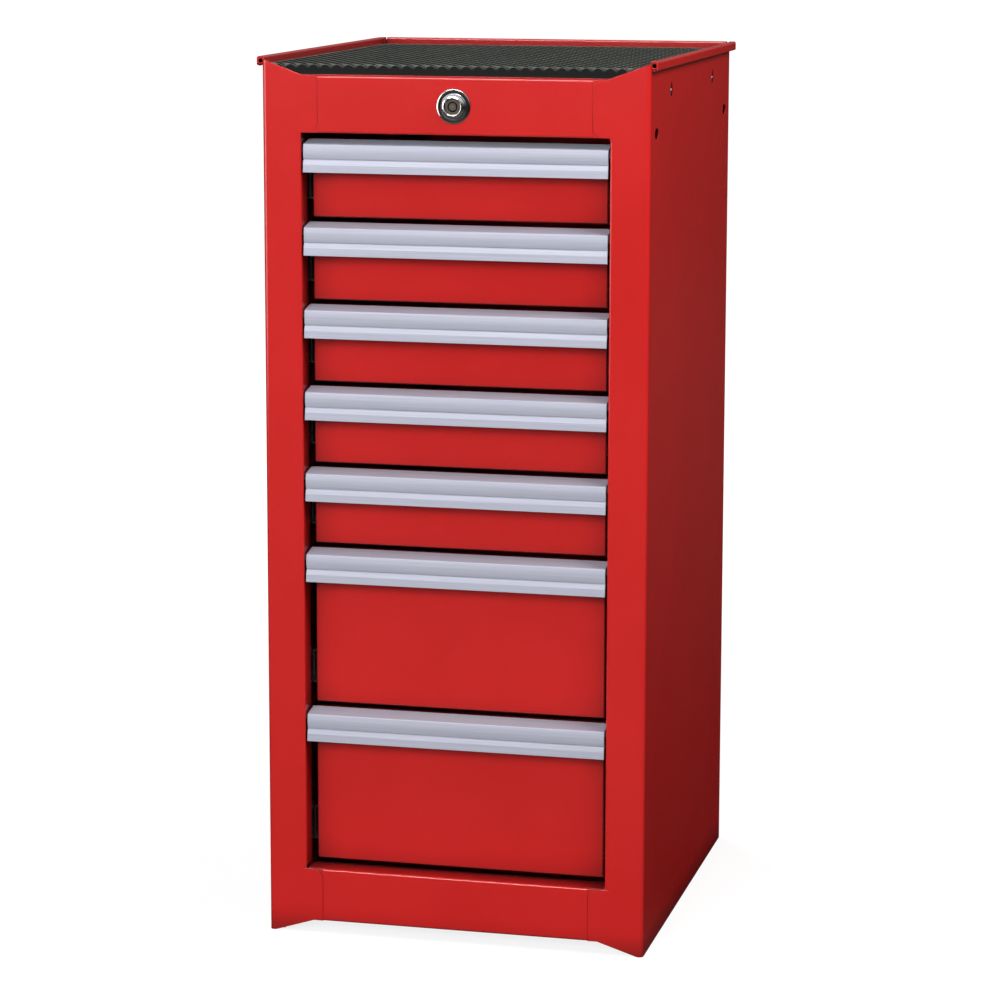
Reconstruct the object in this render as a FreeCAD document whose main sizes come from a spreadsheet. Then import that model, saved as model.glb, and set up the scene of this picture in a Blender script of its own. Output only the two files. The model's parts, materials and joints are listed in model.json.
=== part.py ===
"""Side cabinet for a tool chest: seven drawers on ball slides in a folded steel case.

Every piece is drawn in the case's own directions: X across, Y from the front to the back,
Z up, in millimetres. Sketches count Y from the plane of the front frame, and each piece is
then moved forward by half the depth, so that the finished model stands on the middle of its
own footprint.
"""
import FreeCAD
import Part
import Sketcher
import math
import os

SIZES = (
    ("cabinet_width", 400.0, "across the outer faces of the side panels"),
    ("cabinet_depth", 457.0, "front frame to the back of the side panels"),
    ("cabinet_height", 915.0, "floor to the top of the hems"),
    ("sheet", 1.2, "steel of the case"),
    ("corner_bend", 4.0, "outer radius of the upright corners"),
    ("small_bend", 2.0, "outer radius of the narrow folds"),
    ("tight_bevel", 1.0, "bevel of a fold that is too tight for a radius"),
    ("weld_gap", 0.4, "room round a plate that is set between folds"),
    ("stile_width", 40.5, "face beside the drawers, side to opening"),
    ("stile_return", 21.0, "flange that runs back from the opening"),
    ("rear_flange", 20.0, "fold of a side behind the back panel"),
    ("floor_flange", 14.0, "fold of a side along the floor"),
    ("header_height", 76.0, "top of the hems to the opening"),
    ("base_height", 69.0, "floor to the opening"),
    ("tray_depth", 18.5, "top of the hems to the top edge of the header"),
    ("corner_tab", 58.0, "reach of a side's face over the header and the base"),
    ("tab_curve", 11.0, "radius of a tab's inner corner"),
    ("relief", 3.0, "notch at each corner of the opening"),
    ("shoulder_inset", 44.0, "start of the header's shoulder, from the side"),
    ("shoulder_end", 3.0, "end of the header's shoulder, from the side"),
    ("shoulder_rise", 15.0, "height of the shoulder"),
    ("foot_width", 6.0, "flat foot under each front corner"),
    ("foot_slope", 48.0, "end of the slope behind a foot, from the side"),
    ("foot_rise", 13.3, "floor to the lower edge of the base"),
    ("hem_width", 6.5, "outward reach of the rolled top edge"),
    ("hem_drop", 8.0, "height of the rolled top edge"),
    ("rail_flange", 16.0, "top fold of the header and lower fold of the base"),
    ("base_flange", 29.0, "fold on top of the base"),
    ("lap_width", 15.0, "strap of a rail behind a corner tab"),
    ("pan_flange", 30.0, "fold of the top panel down the sides"),
    ("floor_pan_flange", 12.0, "fold of the bottom panel up the sides"),
    ("mat_thickness", 10.0, "rubber mat on the top"),
    ("mat_setback", 3.0, "mat behind the front frame"),
    ("mat_rib_pitch", 30.5, "from one rib of the mat to the next"),
    ("mat_rib_height", 3.2, "height of the mat's ribs"),
    ("mat_rib_crest", 16.0, "width of a rib at its top"),
    ("mat_rib_slope", 3.5, "width of a rib's sloping side"),
    ("screw_setback", 110.0, "front and back of the cabinet to the hanging screws"),
    ("screw_drop", 35.0, "top of the hems to the hanging screws"),
    ("keyhole_width", 12.0, "round part of a keyhole"),
    ("keyhole_neck", 6.0, "narrow part of a keyhole"),
    ("keyhole_rise", 6.5, "centre of the round part to the centre of the neck's end"),
    ("screw_head", 7.0, "head of a hanging screw"),
    ("screw_head_height", 2.2, "height of that head"),
    ("screw_shank", 4.0, "shank of a hanging screw"),
    ("screw_length", 9.0, "shank behind its head"),
    ("slot_setback", 33.0, "front and back of the cabinet to the bolting slots"),
    ("slot_drop", 73.0, "top of the hems to the bolting slots"),
    ("slot_length", 18.0, "bolting slot, end to end"),
    ("slot_width", 10.5, "bolting slot, across"),
    ("upright_width", 22.0, "slide upright, front to back"),
    ("upright_lip", 9.0, "fold that carries the slides"),
    ("upright_top_gap", 9.0, "centre of the bolting slots to the top of an upright"),
    ("upright_foot_gap", 2.3, "bottom panel's fold to the foot of an upright"),
    ("first_gap", 7.4, "opening's top edge to the first pull"),
    ("last_gap", 6.0, "last front's lower edge to the opening"),
    ("drawer_gap", 4.8, "front's lower edge to the next pull"),
    ("front_setback", 22.0, "frame's face to the drawer fronts"),
    ("front_side_gap", 5.8, "opening's edge to a drawer front"),
    ("front_depth", 9.0, "depth of a front's folded edges"),
    ("pull_side_gap", 2.0, "opening's edge to the end of a pull"),
    ("pull_height", 32.8, "pull, top edge to lower edge"),
    ("pull_wall", 2.0, "wall of the pull"),
    ("pull_fall", 4.0, "fall of the pull's top towards the hand"),
    ("pull_nose", 1.7, "rounded front edge of the pull"),
    ("pull_face", 13.4, "height of the crowned face"),
    ("pull_crown", 28.5, "radius of the crowned face"),
    ("pull_set", 2.0, "crowned face behind the pull's foremost edge"),
    ("pull_groove", 1.1, "groove under the crowned face, high and deep"),
    ("pull_band", 5.0, "height of the band under the groove"),
    ("pull_foot_set", 0.5, "foot of the band behind the pull's foremost edge"),
    ("pull_leg", 14.0, "leg that is riveted to the drawer front"),
    ("drawer_sheet", 1.0, "steel of the trays and the fronts"),
    ("tray_back_gap", 20.6, "back of a tray to the back panel"),
    ("tray_lift", 6.8, "front's lower edge to the tray's floor"),
    ("tray_room", 17.0, "front's top edge to the tray's rim"),
    ("front_bevel", 1.2, "bevel round the face of a front"),
    ("tray_hem", 6.0, "folded rim of a tray"),
    ("slide_start", 34.0, "frame's face to the front of a slide"),
    ("slide_lift", 28.0, "tray's floor to the middle of the slide"),
    ("slide_depth", 12.7, "thickness of a closed slide"),
    ("slide_sheet", 1.2, "steel of the slide members"),
    ("slide_lip", 8.7, "depth of the cabinet member"),
    ("member_height", 23.0, "height of the drawer member"),
    ("member_depth", 9.6, "depth of the drawer member"),
    ("ball_size", 4.8, "room for the balls"),
    ("lip_gap", 0.8, "drawer member to the lips of the cabinet member"),
    ("cage_sheet", 0.8, "steel of the ball cage"),
    ("cage_gap", 0.5, "cage to the cabinet member"),
    ("cage_lip", 5.2, "depth of the ball cage"),
    ("drawer_travel", 300.0, "how far a drawer opens"),
    ("bezel_width", 35.0, "ring round the lock"),
    ("bezel_depth", 6.5, "lock in front of the frame"),
    ("bezel_skirt", 2.9, "height of the ring's wide foot"),
    ("bezel_bevel", 1.6, "bevels of the ring"),
    ("crown_width", 25.0, "bright ring on the lock"),
    ("barrel_width", 24.8, "body of the lock"),
    ("barrel_length", 24.0, "body of the lock behind the frame"),
    ("plug_width", 15.2, "turning plug"),
    ("plug_recess", 1.8, "lock's front edge to the plug's face"),
    ("keyway_width", 10.0, "outer width of the round keyway"),
    ("keyway_pin", 7.7, "pin inside the keyway"),
    ("keyway_depth", 6.0, "depth of the keyway"),
    ("running_gap", 0.08, "room round a part that turns"),
    ("plug_tail", 4.0, "plug behind the body of the lock"),
    ("hole_gap", 0.4, "room round a part in a punched hole"),
    ("nut_flats", 30.0, "nut of the lock, across the flats"),
    ("nut_height", 4.0, "nut of the lock"),
    ("rod_width", 6.0, "rod from the plug to the back"),
    ("crank_radius", 8.0, "crank pin from the rod's axis"),
    ("crank_sheet", 2.0, "crank disc"),
    ("crank_rim", 5.0, "crank pin to the disc's edge"),
    ("crank_pin", 4.0, "crank pin"),
    ("crank_gap", 2.1, "crank disc to the lock bar"),
    ("pin_past", 1.7, "crank pin behind the lock bar"),
    ("pin_slack", 0.6, "crank pin to the edges of its slot"),
    ("key_turn", 90.0, "turn of the key in degrees"),
    ("bar_width", 30.0, "lock bar"),
    ("bar_sheet", 1.5, "steel of the lock bar and of its bracket"),
    ("bar_gap", 3.5, "lock bar to the back panel"),
    ("bar_head", 12.0, "top of the bar above the crank pin"),
    ("bar_foot", 20.0, "foot of the bar under its last catch"),
    ("catch_width", 20.0, "catches on the lock bar"),
    ("catch_reach", 11.1, "catches in front of the lock bar"),
    ("catch_gap", 1.5, "catch to the hook above it, unlocked"),
    ("catch_room", 1.2, "catch to the hook round it, locked"),
    ("hook_width", 30.0, "hook behind a tray"),
    ("hook_reach", 12.5, "hook behind a tray, front to back"),
    ("rivet_width", 8.0, "shoulder rivet in a slot of the lock bar"),
    ("rivet_head", 14.0, "head of the shoulder rivet"),
    ("rivet_head_height", 2.0, "height of that head"),
    ("rivet_slack", 0.3, "rivet to the sides of its slot"),
    ("rivet_drop", 62.0, "pull's top edge to the rivet behind that drawer"),
    ("bracket_width", 24.0, "bracket of the rod"),
    ("bracket_gap", 6.5, "bracket of the rod to the crank disc"),
    ("bracket_foot", 14.0, "bracket's fold under the top panel"),
    ("bracket_drop", 11.0, "rod's axis to the bracket's lower edge"),
)
SHALLOW_DRAWERS = 5
DEEP_DRAWERS = 2
RIVETED_DRAWERS = (1, 6)
# Half the angle between two corners of a hexagon, in degrees.
HEXAGON_HALF_ANGLE = 30
# How far a cut starts outside the sheet that it goes through, in millimetres.
PAST = 1


class Term:
    """A number together with the formula that gives it from the sheet of sizes."""

    def __init__(self, text, value):
        self.text = text
        self.value = float(value)

    def __add__(self, other):
        return combine(self, "+", other)

    def __radd__(self, other):
        return combine(other, "+", self)

    def __sub__(self, other):
        return combine(self, "-", other)

    def __rsub__(self, other):
        return combine(other, "-", self)

    def __mul__(self, other):
        return combine(self, "*", other)

    def __rmul__(self, other):
        return combine(other, "*", self)

    def __truediv__(self, other):
        return combine(self, "/", other)

    def __neg__(self):
        return combine(-1, "*", self)


def term(value):
    """The value as a term."""
    if isinstance(value, Term):
        return value
    return Term("(%s)" % repr(float(value)), value)


def combine(first, sign, second):
    """Two terms joined by a sign, both as a formula and as a number."""
    first, second = term(first), term(second)
    results = {
        "+": first.value + second.value,
        "-": first.value - second.value,
        "*": first.value * second.value,
        "/": first.value / (second.value or math.inf),
    }
    return Term("(%s %s %s)" % (first.text, sign, second.text), results[sign])


def sine(angle):
    """The sine of an angle in degrees."""
    return Term("sin(%s * 1 deg)" % angle.text, math.sin(math.radians(angle.value)))


def cosine(angle):
    """The cosine of an angle in degrees."""
    return Term("cos(%s * 1 deg)" % angle.text, math.cos(math.radians(angle.value)))


class Curve:
    """An arc from the corner before it to the corner after it; a turn of 1 is to the left."""

    def __init__(self, radius, turn):
        self.radius = radius
        self.turn = turn


class Bevel:
    """A corner that is cut off straight, in place of a tight radius."""

    def __init__(self, width):
        self.width = width


class Circle:
    """A full circle."""

    def __init__(self, u, v, radius):
        self.u = term(u)
        self.v = term(v)
        self.radius = term(radius)


class Size:
    """The cells of the sheet, each as a term."""


doc = FreeCAD.newDocument("side_cabinet")
sheet = doc.addObject("Spreadsheet::Sheet", "sizes")
size = Size()
for row, (alias, amount, meaning) in enumerate(SIZES, 1):
    sheet.set("A%d" % row, alias)
    sheet.set("B%d" % row, str(amount))
    sheet.set("C%d" % row, meaning)
    sheet.setAlias("B%d" % row, alias)
    setattr(size, alias, Term("sizes.%s" % alias, amount))
doc.recompute()

half_width = size.cabinet_width / 2
inner_side = half_width - size.sheet
opening_half = half_width - size.stile_width
opening_top = size.cabinet_height - size.header_height
header_top = size.cabinet_height - size.tray_depth
panel_top = header_top + size.sheet
seam = half_width - size.corner_tab
plate_half = inner_side - size.weld_gap
plate_start = 2 * size.sheet + size.weld_gap
back_inside = size.cabinet_depth - 2 * size.sheet
plate_end = back_inside - size.weld_gap
bottom_panel_floor = size.foot_rise + size.sheet
front_slot = size.slot_setback
rear_slot = size.cabinet_depth - size.slot_setback
slot_level = size.cabinet_height - size.slot_drop
front_screw = size.screw_setback
rear_screw = size.cabinet_depth - size.screw_setback
screw_level = size.cabinet_height - size.screw_drop
slide_plane = opening_half + size.sheet
tray_half = slide_plane - size.slide_depth
tray_end = back_inside - size.tray_back_gap
slide_length = tray_end - size.slide_start
slide_half = size.member_height / 2 + size.ball_size + size.slide_sheet
pitch_count = SHALLOW_DRAWERS + 2 * DEEP_DRAWERS
drawer_room = opening_top - size.base_height - size.first_gap - size.last_gap
pitch = (drawer_room + size.drawer_gap) / pitch_count
lock_level = (opening_top + header_top) / 2
half_turn = size.key_turn / 2
crank_side = size.crank_radius * cosine(half_turn)
crank_drop = size.crank_radius * sine(half_turn)
stroke = 2 * crank_drop
bar_back = back_inside - size.bar_gap
bar_front = bar_back - size.bar_sheet
crank_back = bar_front - size.crank_gap
crank_front = crank_back - size.crank_sheet
bracket_start = crank_front - size.bracket_gap - size.bracket_foot
hook_lip = stroke - size.catch_gap + size.catch_room + size.drawer_sheet
catch_lip = stroke - size.catch_gap + size.catch_room + size.bar_sheet


def towards(corner, other, distance):
    """The point at a distance from a corner along the straight edge to the other one."""
    du = other[0].value - corner[0].value
    dv = other[1].value - corner[1].value
    if abs(du) > abs(dv):
        return corner[0] + math.copysign(1, du) * distance, corner[1]
    return corner[0], corner[1] + math.copysign(1, dv) * distance


def edges_of(outline):
    """Split an outline into edges: start, end and, for an arc, its radius and turn."""
    corners = [item for item in outline if not isinstance(item, Curve)]
    corners = [(term(item[0]), term(item[1])) + tuple(item[2:]) for item in corners]
    curves = {}
    for place, item in enumerate(outline):
        if isinstance(item, Curve):
            before = sum(not isinstance(other, Curve) for other in outline[:place]) - 1
            curves[before] = item
    points = []
    for index, corner in enumerate(corners):
        if len(corner) == 2:
            points.append((corner, curves.get(index)))
            continue
        straight = isinstance(corner[2], Bevel)
        width = term(corner[2].width if straight else corner[2])
        start = towards(corner, corners[index - 1], width)
        end = towards(corner, corners[(index + 1) % len(corners)], width)
        cross = (corner[0].value - start[0].value) * (end[1].value - corner[1].value)
        cross -= (corner[1].value - start[1].value) * (end[0].value - corner[0].value)
        points.append((start, None if straight else Curve(width, math.copysign(1, cross))))
        points.append((end, curves.get(index)))
    return [(points[i][0], points[(i + 1) % len(points)][0], points[i][1]) for i in range(len(points))]


def arc_through(start, end, curve):
    """An arc of the curve's radius between two points, and whether it runs backwards."""
    first = FreeCAD.Vector(start[0].value, start[1].value, 0)
    last = FreeCAD.Vector(end[0].value, end[1].value, 0)
    chord = last - first
    radius = chord.Length / 2 if curve.radius is None else term(curve.radius).value
    height = math.sqrt(max(radius ** 2 - (chord.Length / 2) ** 2, 0))
    side = FreeCAD.Vector(-chord.y, chord.x, 0).normalize() * (height * curve.turn)
    centre = (first + last) * 0.5 + side
    if curve.turn < 0:
        first, last = last, first
    angles = [math.atan2(point.y - centre.y, point.x - centre.x) for point in (first, last)]
    circle = Part.Circle(centre, FreeCAD.Vector(0, 0, 1), radius)
    return Part.ArcOfCircle(circle, angles[0], angles[1])


def hold(sketch, geometry, point, u, v):
    """Tie one point of a sketch to the sheet."""
    for kind, value in (("DistanceX", u), ("DistanceY", v)):
        constraint = Sketcher.Constraint(kind, -1, 1, geometry, point, value.value)
        index = sketch.addConstraint(constraint)
        sketch.setExpression("Constraints[%d]" % index, value.text)


def draw_circle(sketch, circle):
    """One circle, tied to the sheet."""
    centre = FreeCAD.Vector(circle.u.value, circle.v.value, 0)
    shape = Part.Circle(centre, FreeCAD.Vector(0, 0, 1), circle.radius.value)
    geometry = sketch.addGeometry(shape, False)
    hold(sketch, geometry, 3, circle.u, circle.v)
    index = sketch.addConstraint(Sketcher.Constraint("Radius", geometry, circle.radius.value))
    sketch.setExpression("Constraints[%d]" % index, circle.radius.text)


def draw_outline(sketch, outline):
    """One closed outline, tied to the sheet."""
    placed = []
    for start, end, curve in edges_of(outline):
        if curve is None:
            first = FreeCAD.Vector(start[0].value, start[1].value, 0)
            last = FreeCAD.Vector(end[0].value, end[1].value, 0)
            shape = Part.LineSegment(first, last)
        else:
            shape = arc_through(start, end, curve)
        backwards = curve is not None and curve.turn < 0
        placed.append((sketch.addGeometry(shape, False), backwards, start, end, curve))
    for index, (geometry, backwards, start, end, curve) in enumerate(placed):
        following = placed[(index + 1) % len(placed)]
        leave = 1 if backwards else 2
        arrive = 2 if following[1] else 1
        sketch.addConstraint(Sketcher.Constraint("Coincident", geometry, leave, following[0], arrive))
        hold(sketch, geometry, 2 if backwards else 1, start[0], start[1])
    for geometry, backwards, start, end, curve in placed:
        if curve is None:
            continue
        if curve.radius is None:
            across = abs(start[0].value - end[0].value) > abs(start[1].value - end[1].value)
            kind, value = ("DistanceY", start[1]) if across else ("DistanceX", start[0])
            number = sketch.addConstraint(Sketcher.Constraint(kind, -1, 1, geometry, 3, value.value))
        else:
            value = term(curve.radius)
            number = sketch.addConstraint(Sketcher.Constraint("Radius", geometry, value.value))
        sketch.setExpression("Constraints[%d]" % number, value.text)


class Piece:
    """One piece of the cabinet, built up feature by feature."""

    def __init__(self, label, x=0, y=0, z=0):
        self.label = label
        self.body = doc.addObject("PartDesign::Body", label)
        self.body.Label = label
        self.place(x, y, z)
        self.steps = 0

    def place(self, x, y, z):
        """Tie the piece's place to the sheet."""
        from_middle = term(y) - size.cabinet_depth / 2
        for axis, value in (("x", term(x)), ("y", from_middle), ("z", term(z))):
            self.body.setExpression("Placement.Base.%s" % axis, value.text)

    def origin(self, role):
        """A plane or an axis of the piece's own origin."""
        return [item for item in self.body.Origin.OriginFeatures if item.Role == role][0]

    def sketch(self, plane, outlines, level):
        """A sketch on a plane of the piece, at a level along the plane's axis."""
        self.steps += 1
        sketch = self.body.newObject("Sketcher::SketchObject", "%s_sketch_%d" % (self.label, self.steps))
        sketch.AttachmentSupport = [(self.origin("%s_Plane" % plane), "")]
        sketch.MapMode = "FlatFace"
        away = -term(level) if plane == "XZ" else term(level)
        sketch.setExpression("AttachmentOffset.Base.z", away.text)
        for outline in outlines:
            if isinstance(outline, Circle):
                draw_circle(sketch, outline)
            else:
                draw_outline(sketch, outline)
        return sketch

    def feature(self, kind, sketch):
        """A feature of the body made from a sketch."""
        feature = self.body.newObject(kind, "%s_step_%d" % (self.label, self.steps))
        feature.Profile = sketch
        self.body.Tip = feature
        return feature

    def pad(self, plane, outlines, start, end):
        """Add material between two levels along the plane's axis."""
        low, high = sorted((term(start), term(end)), key=lambda value: value.value)
        sketch = self.sketch(plane, outlines, high if plane == "XZ" else low)
        pad = self.feature("PartDesign::Pad", sketch)
        pad.setExpression("Length", (high - low).text)
        doc.recompute()
        return pad

    def cut(self, plane, outlines, start, end):
        """Remove material between two levels along the plane's axis."""
        low, high = sorted((term(start), term(end)), key=lambda value: value.value)
        before = self.body.Shape.Volume
        sketch = self.sketch(plane, outlines, low if plane == "XZ" else high)
        pocket = self.feature("PartDesign::Pocket", sketch)
        pocket.setExpression("Length", (high - low).text)
        doc.recompute()
        if not self.body.Shape.Volume < before:
            raise RuntimeError("%s: step %d removes nothing" % (self.label, self.steps))
        return pocket

    def revolve(self, outline):
        """Turn an outline of the YZ plane round the piece's Y axis."""
        sketch = self.sketch("YZ", [outline], 0)
        turned = self.feature("PartDesign::Revolution", sketch)
        turned.ReferenceAxis = (sketch, ["H_Axis"])
        turned.Angle = 360
        doc.recompute()
        return turned

    def bevel_edges(self, width, chosen):
        """Bevel every edge for which chosen gives True."""
        base = self.body.Tip
        names = ["Edge%d" % (n + 1) for n, edge in enumerate(base.Shape.Edges) if chosen(edge)]
        chamfer = self.body.newObject("PartDesign::Chamfer", "%s_bevel" % self.label)
        chamfer.Base = (base, names)
        chamfer.setExpression("Size", width.text)
        self.body.Tip = chamfer
        doc.recompute()
        return chamfer

    def mirror(self):
        """Repeat the whole piece on the other side of the cabinet."""
        base = self.body.Tip
        mirrored = self.body.newObject("PartDesign::Mirrored", "%s_mirrored" % self.label)
        mirrored.Originals = [base]
        mirrored.TransformMode = "Whole shape"
        mirrored.MirrorPlane = (self.origin("YZ_Plane"), [""])
        self.body.Tip = mirrored
        doc.recompute()
        return mirrored


def box(u_start, v_start, u_end, v_end, radius=None):
    """A rectangle, with rounded corners where a radius is given."""
    corners = [(u_start, v_start), (u_end, v_start), (u_end, v_end), (u_start, v_end)]
    if radius is None:
        return corners
    return [corner + (radius,) for corner in corners]


def slot(u, v, length, width):
    """A slot with round ends that runs along the first axis."""
    straight = (length - width) / 2
    radius = width / 2
    return [
        (u - straight, v - radius), (u + straight, v - radius), Curve(None, 1),
        (u + straight, v + radius), (u - straight, v + radius), Curve(None, 1),
    ]


def upright_slot(u, v_low, v_high, radius):
    """A slot with round ends that runs up, between the centres of its ends."""
    return [
        (u + radius, v_low), (u + radius, v_high), Curve(None, 1),
        (u - radius, v_high), (u - radius, v_low), Curve(None, 1),
    ]


def keyhole(u, v):
    """A keyhole: a round hole with a narrow neck above it."""
    radius = size.keyhole_width / 2
    neck = size.keyhole_neck / 2
    rise = Term("sqrt(pow(%s; 2) - pow(%s; 2))" % (radius.text, neck.text),
                math.sqrt(radius.value ** 2 - neck.value ** 2))
    top = v + size.keyhole_rise
    return [
        (u - neck, v + rise), Curve(radius, 1), (u, v - radius), Curve(radius, 1),
        (u + neck, v + rise), (u + neck, top), Curve(None, 1), (u - neck, top),
    ]


def hem(base, edge, tip, drop):
    """A sheet edge rolled over outwards: wall from base to edge, then out to tip and down."""
    top = size.cabinet_height
    inside = size.small_bend - size.sheet
    return [
        (base, top - drop), (base, top, size.small_bend), (tip, top, size.small_bend),
        (tip, top - size.hem_drop), (tip - edge * size.sheet, top - size.hem_drop),
        (tip - edge * size.sheet, top - size.sheet, Bevel(inside)),
        (base + edge * size.sheet, top - size.sheet, Bevel(inside)),
        (base + edge * size.sheet, top - drop),
    ]


def side_panel(label, side):
    """A side with its front face, its return beside the drawers, rear flange and rolled top."""
    panel = Piece(label)
    depth = size.cabinet_depth
    inside_bend = size.corner_bend - size.sheet
    wall_top = size.cabinet_height - size.small_bend
    panel.pad("XY", [[
        (side * seam, 0), (side * half_width, 0, size.corner_bend),
        (side * half_width, depth, size.corner_bend), (side * (half_width - size.rear_flange), depth),
        (side * (half_width - size.rear_flange), depth - size.sheet),
        (side * inner_side, depth - size.sheet, inside_bend), (side * inner_side, size.sheet, inside_bend),
        (side * seam, size.sheet),
    ]], 0, wall_top)
    past = seam - PAST
    beyond = half_width + PAST
    shoulder = header_top + size.shoulder_rise
    above = size.cabinet_height + PAST
    panel.cut("XZ", [[
        (side * past, header_top), (side * (half_width - size.shoulder_inset), header_top),
        (side * (half_width - size.shoulder_end), shoulder), (side * beyond, shoulder),
        (side * beyond, above), (side * past, above),
    ]], -PAST, size.corner_bend)
    relief_edge = opening_half + size.relief
    fold_start = opening_half + size.small_bend
    head = opening_top + size.tab_curve
    foot = size.base_height - size.tab_curve
    panel.cut("XZ", [[
        (side * past, -PAST), (side * (half_width - size.foot_width), -PAST),
        (side * (half_width - size.foot_width), 0),
        (side * (half_width - size.foot_slope), size.foot_rise),
        (side * seam, size.foot_rise), (side * seam, foot), Curve(size.tab_curve, -side),
        (side * (seam + size.tab_curve), size.base_height), (side * relief_edge, size.base_height),
        (side * relief_edge, size.base_height + size.relief),
        (side * fold_start, size.base_height + size.relief),
        (side * fold_start, opening_top - size.relief), (side * relief_edge, opening_top - size.relief),
        (side * relief_edge, opening_top), (side * (seam + size.tab_curve), opening_top),
        Curve(size.tab_curve, -side), (side * seam, head), (side * seam, head + size.relief),
        (side * past, head + size.relief),
    ]], -PAST, size.small_bend)
    panel.pad("XY", [[
        (side * opening_half, 0, size.small_bend), (side * (opening_half + size.corner_bend), 0),
        (side * (opening_half + size.corner_bend), size.sheet),
        (side * (opening_half + size.sheet), size.sheet, size.small_bend - size.sheet),
        (side * (opening_half + size.sheet), size.stile_return), (side * opening_half, size.stile_return),
    ]], size.base_height + size.relief, opening_top - size.relief)
    rolled = hem(side * inner_side, side, side * (half_width + size.hem_width), size.hem_drop)
    panel.pad("XZ", [rolled], size.corner_bend, depth)
    floor_end = half_width - size.floor_flange
    panel.pad("XZ", [box(side * floor_end, 0, side * inner_side, size.sheet)],
              2 * size.corner_bend, depth - 2 * size.corner_bend)
    panel.cut("YZ", [
        slot(front_slot, slot_level, size.slot_length, size.slot_width),
        slot(rear_slot, slot_level, size.slot_length, size.slot_width),
        keyhole(front_screw, screw_level), keyhole(rear_screw, screw_level),
    ], side * (inner_side - PAST), side * (half_width + PAST))
    return panel


def back_panel():
    """The back, with its top edge rolled over to the rear."""
    panel = Piece("back_panel")
    half = half_width - size.corner_bend - size.weld_gap
    outside = back_inside + size.sheet
    panel.pad("XZ", [box(-half, size.small_bend, half, size.cabinet_height - size.hem_drop)],
              back_inside, outside)
    rolled = hem(back_inside, 1, size.cabinet_depth + size.hem_width, size.hem_drop)
    panel.pad("YZ", [rolled], -half, half)
    return panel


def top_panel():
    """The floor of the top tray, folded down along both sides to carry the hanging screws."""
    panel = Piece("top_panel")
    low = panel_top - size.pan_flange
    inside = Bevel(size.small_bend - size.sheet)
    under = panel_top - size.sheet
    panel.pad("XZ", [[
        (-plate_half, low), (-plate_half + size.sheet, low), (-plate_half + size.sheet, under, inside),
        (plate_half - size.sheet, under, inside), (plate_half - size.sheet, low), (plate_half, low),
        (plate_half, panel_top, size.small_bend), (-plate_half, panel_top, size.small_bend),
    ]], plate_start, plate_end)
    notches = ((plate_start - PAST, size.stile_return), (plate_end - size.stile_return, plate_end + PAST))
    panel.cut("YZ", [box(start, low - PAST, end, panel_top - size.small_bend) for start, end in notches],
              -plate_half - PAST, plate_half + PAST)
    bore = size.screw_shank / 2 + size.running_gap
    holes = [Circle(front_screw, screw_level, bore), Circle(rear_screw, screw_level, bore)]
    panel.cut("YZ", holes, -plate_half - PAST, plate_half + PAST)
    return panel


def bottom_panel():
    """The floor of the case, folded up along both sides."""
    panel = Piece("bottom_panel")
    low = bottom_panel_floor
    high = low + size.sheet + size.floor_pan_flange
    inside = Bevel(size.small_bend - size.sheet)
    panel.pad("XZ", [[
        (-plate_half, low, size.small_bend), (plate_half, low, size.small_bend), (plate_half, high),
        (plate_half - size.sheet, high), (plate_half - size.sheet, low + size.sheet, inside),
        (-plate_half + size.sheet, low + size.sheet, inside), (-plate_half + size.sheet, high),
        (-plate_half, high),
    ]], plate_start, plate_end)
    panel.cut("YZ", [box(plate_start - PAST, low + size.small_bend, size.stile_return, high + PAST)],
              -plate_half - PAST, plate_half + PAST)
    return panel


def channel(low, high, low_flange, high_flange):
    """The section of a cross rail: a face with a fold at its lower and its upper edge."""
    inside = Bevel(size.small_bend - size.sheet)
    return [
        (0, low, size.small_bend), (low_flange, low), (low_flange, low + size.sheet),
        (size.sheet, low + size.sheet, inside), (size.sheet, high - size.sheet, inside),
        (high_flange, high - size.sheet), (high_flange, high), (0, high, size.small_bend),
    ]


def cross_rail(label, low, high, low_flange, high_flange, ledge):
    """A rail between the side panels, with a strap behind each corner tab and a ledge behind it."""
    rail = Piece(label)
    face = seam - size.weld_gap
    rail.pad("YZ", [channel(low, high, low_flange, high_flange)], -face, face)
    strap = seam + size.lap_width
    straps = [box(side * (face - size.sheet), size.sheet, side * strap, 2 * size.sheet)
              for side in (-1, 1)]
    rail.pad("XY", straps, low + size.small_bend, high - size.small_bend)
    reach = opening_half - size.weld_gap
    level, flange = ledge
    rail.pad("XY", [box(-reach, plate_start, reach, flange)], level, level + size.sheet)
    return rail


def header_rail():
    """The rail over the drawers, with the hole for the lock."""
    rail = cross_rail("header_rail", opening_top, header_top, size.stile_return, size.rail_flange,
                      (opening_top, size.stile_return))
    hole = size.barrel_width / 2 + size.hole_gap
    rail.cut("XZ", [Circle(0, lock_level, hole)], -PAST, size.sheet + PAST)
    return rail


def base_rail():
    """The rail under the drawers, raised off the floor."""
    return cross_rail("base_rail", size.foot_rise, size.base_height, size.rail_flange,
                      size.base_flange, (size.base_height - size.sheet, size.base_flange))


def uprights(label, middle):
    """The pair of lipped channels that carry the slides."""
    pair = Piece(label)
    front = middle - size.upright_width / 2
    rear = middle + size.upright_width / 2
    fold = Bevel(size.tight_bevel)
    lip = size.upright_lip
    pair.pad("XY", [[
        (slide_plane, front, fold), (inner_side, front, fold), (inner_side, rear, fold),
        (slide_plane, rear, fold), (slide_plane, rear - lip), (slide_plane + size.sheet, rear - lip),
        (slide_plane + size.sheet, rear - size.sheet), (inner_side - size.sheet, rear - size.sheet),
        (inner_side - size.sheet, front + size.sheet), (slide_plane + size.sheet, front + size.sheet),
        (slide_plane + size.sheet, front + lip), (slide_plane, front + lip),
    ]], bottom_panel_floor + size.sheet + size.floor_pan_flange + size.upright_foot_gap,
        slot_level - size.upright_top_gap)
    pair.mirror()
    return pair


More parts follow.
